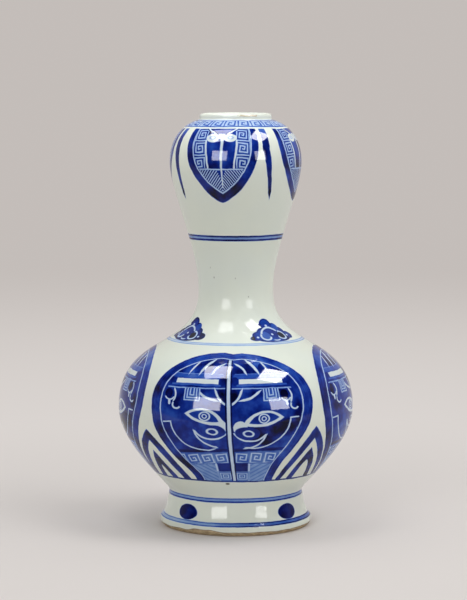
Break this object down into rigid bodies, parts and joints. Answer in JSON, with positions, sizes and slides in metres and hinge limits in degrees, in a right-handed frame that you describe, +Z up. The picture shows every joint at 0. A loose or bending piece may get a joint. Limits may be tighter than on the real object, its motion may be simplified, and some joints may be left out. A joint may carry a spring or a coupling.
{
  "type": "garlic-mouth vase",
  "caption": "Porcelain bottle vase with a splayed foot, swelling belly, waisted neck and a garlic-shaped bulb under a short upright lip; holds cut stems or stands as an ornament.",
  "frame": {"origin": "middle of the foot's standing rim, on the surface that the vase stands on", "axes": "+Z up along the axis that the vase was thrown on; the front of the painted decoration faces -Y"},
  "size_m": [0.16, 0.16, 0.28],
  "materials": {
    "glazed_porcelain": "clear glossy glaze over white porcelain painted in cobalt blue",
    "luting_slip": "matt fired porcelain slip"
  },
  "bodies": {
    "root": {"foot_ring": "glazed_porcelain", "foot_lute": "luting_slip", "lower_body": "glazed_porcelain", "belly_lute": "luting_slip", "upper_body": "glazed_porcelain", "shoulder_lute": "luting_slip", "neck": "glazed_porcelain", "mouth_lute": "luting_slip", "garlic_mouth": "glazed_porcelain"}
  },
  "joints": []
}
